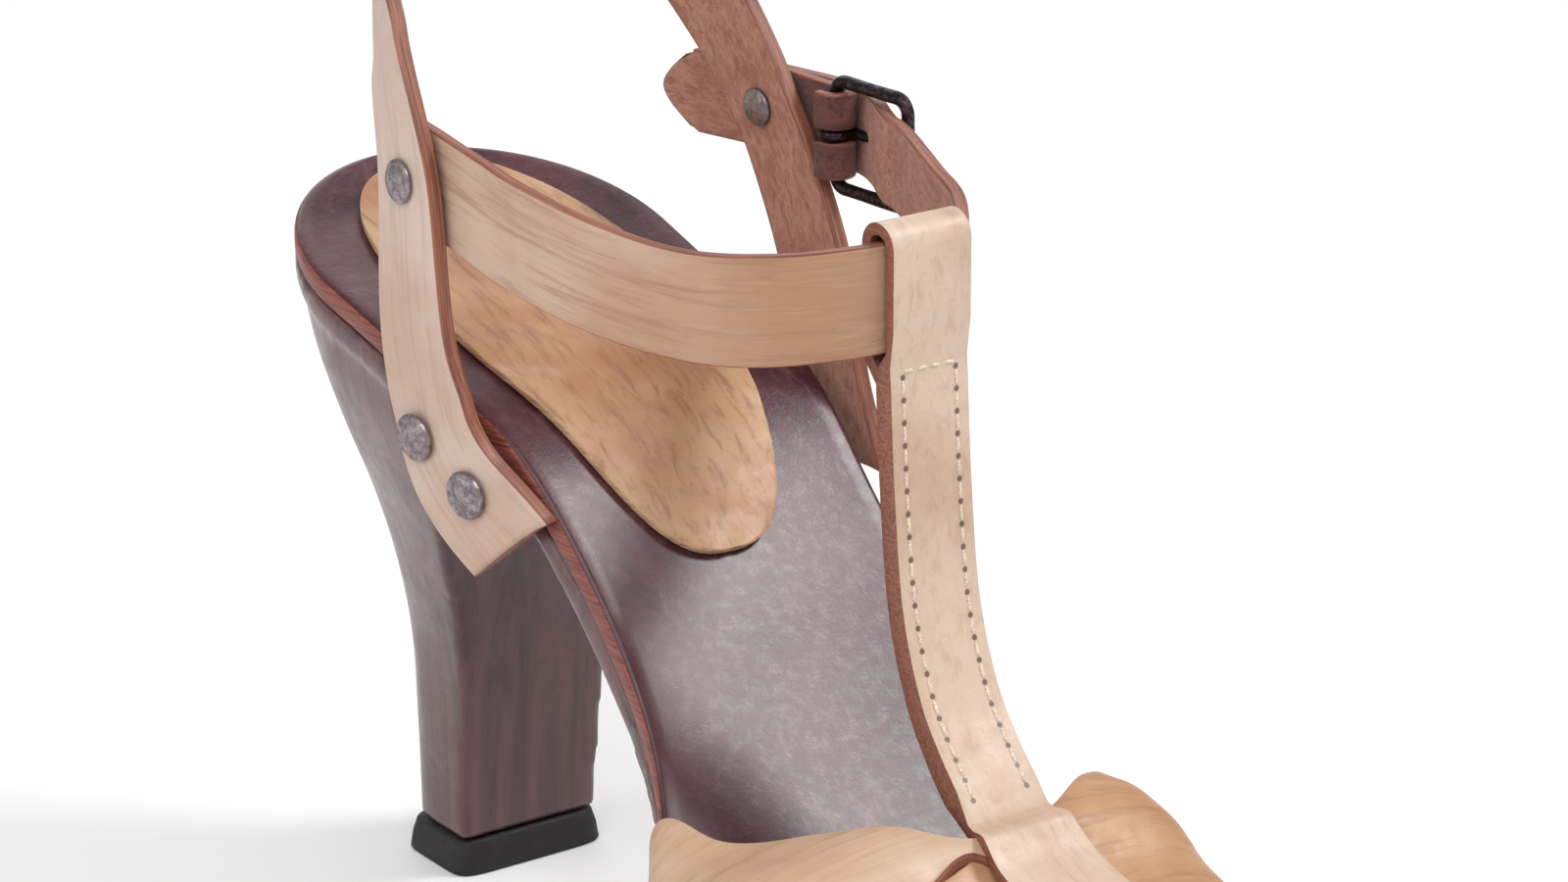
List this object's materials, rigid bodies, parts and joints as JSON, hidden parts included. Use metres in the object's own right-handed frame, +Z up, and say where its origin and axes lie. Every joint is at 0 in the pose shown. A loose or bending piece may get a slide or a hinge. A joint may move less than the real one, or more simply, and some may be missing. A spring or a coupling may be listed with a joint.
{
  "type": "leather sandal",
  "caption": "Left high-heeled leather sandal on a carved wooden sole, with a looped T-strap, a buckled ankle band and a riveted back strap.",
  "frame": {"origin": "middle of the heel tip's bottom face, on the floor", "axes": "+Z up, -Y towards the toe, +X towards the shoe's outer side, where the buckle is"},
  "size_m": [0.0942, 0.2241, 0.1925],
  "materials": {
    "heel_rubber": "matte",
    "dark_wood": "stained and waxed",
    "tread_rubber": "matte",
    "footbed_leather": "polished",
    "pad_leather": "smooth natural",
    "strap_leather": "natural vegetable tan with reddish cut edges",
    "buckle_metal": "antique dark",
    "rivet_metal": "pewter"
  },
  "bodies": {
    "root": {"heel_tip": "heel_rubber", "wooden_sole": "dark_wood", "forefoot_tread": "tread_rubber", "footbed": "footbed_leather", "heel_pad": "pad_leather", "toe_and_t_strap": "strap_leather", "ankle_band": "strap_leather", "back_strap": "strap_leather", "buckle_strap": "strap_leather", "buckle_frame": "buckle_metal", "buckle_prong": "buckle_metal", "strap_rivet_inner": "rivet_metal", "strap_rivet_outer": "rivet_metal", "strap_nail_inner_back": "rivet_metal", "strap_nail_inner_front": "rivet_metal", "strap_nail_outer_back": "rivet_metal", "strap_nail_outer_front": "rivet_metal", "toe_nail_inner_back": "rivet_metal", "toe_nail_inner_front": "rivet_metal", "toe_nail_outer_back": "rivet_metal", "toe_nail_outer_front": "rivet_metal"}
  },
  "joints": []
}
